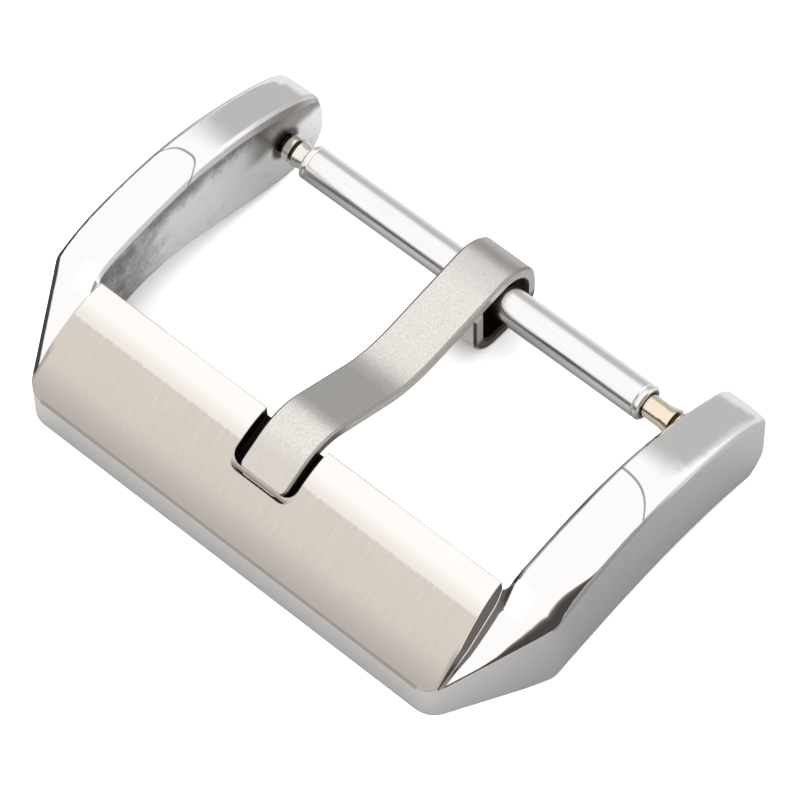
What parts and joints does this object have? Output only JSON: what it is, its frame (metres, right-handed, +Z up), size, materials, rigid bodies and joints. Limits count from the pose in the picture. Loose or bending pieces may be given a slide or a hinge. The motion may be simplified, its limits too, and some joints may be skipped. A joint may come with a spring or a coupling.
{
  "type": "watch strap tang buckle",
  "caption": "Tang buckle for a watch strap: domed plate frame with two flared arms, a bent tang in a notch and a sprung cross bar in blind holes.",
  "frame": {"origin": "middle of the spring bar's axis, midway between the arms' inner walls", "axes": "+X along the spring bar, -Y from the bar to the front plate, +Z up out of the side that is seen when worn"},
  "size_m": [0.025, 0.017, 0.0053],
  "materials": {
    "frame_steel": "brushed plate, polished facets, satin walls",
    "tang_steel": "fine satin faces, polished edges",
    "tube_steel": "polished",
    "pin_steel": "turned, polished",
    "spring_steel": "drawn wire"
  },
  "bodies": {
    "frame": {"frame": "frame_steel"},
    "tang": {"tang": "tang_steel"},
    "bar": {"spring_bar_tube": "tube_steel", "spring_bar_spring": "spring_steel"},
    "pin_left": {"end_pin_left": "pin_steel"},
    "pin_right": {"end_pin_right": "pin_steel"}
  },
  "joints": [
    {"name": "tang_swing", "type": "hinge", "parent": "frame", "child": "tang", "pos_m": [0, 0, 0], "axis": [-1, 0, 0], "range_deg": [0, 346]},
    {"name": "spring_bar_spin", "type": "hinge", "parent": "frame", "child": "bar", "pos_m": [0, 0, 0], "axis": [1, 0, 0], "continuous": true},
    {"name": "end_pin_left_slide", "type": "slide", "parent": "bar", "child": "pin_left", "axis": [1, 0, 0], "range_m": [0, 0.0002], "stiffness_N_per_m": 400, "springref_m": -0.0012, "deforming": ["spring_bar_spring"]},
    {"name": "end_pin_right_slide", "type": "slide", "parent": "bar", "child": "pin_right", "axis": [-1, 0, 0], "range_m": [0, 0.0009], "stiffness_N_per_m": 400, "springref_m": -0.0012, "deforming": ["spring_bar_spring"]}
  ]
}
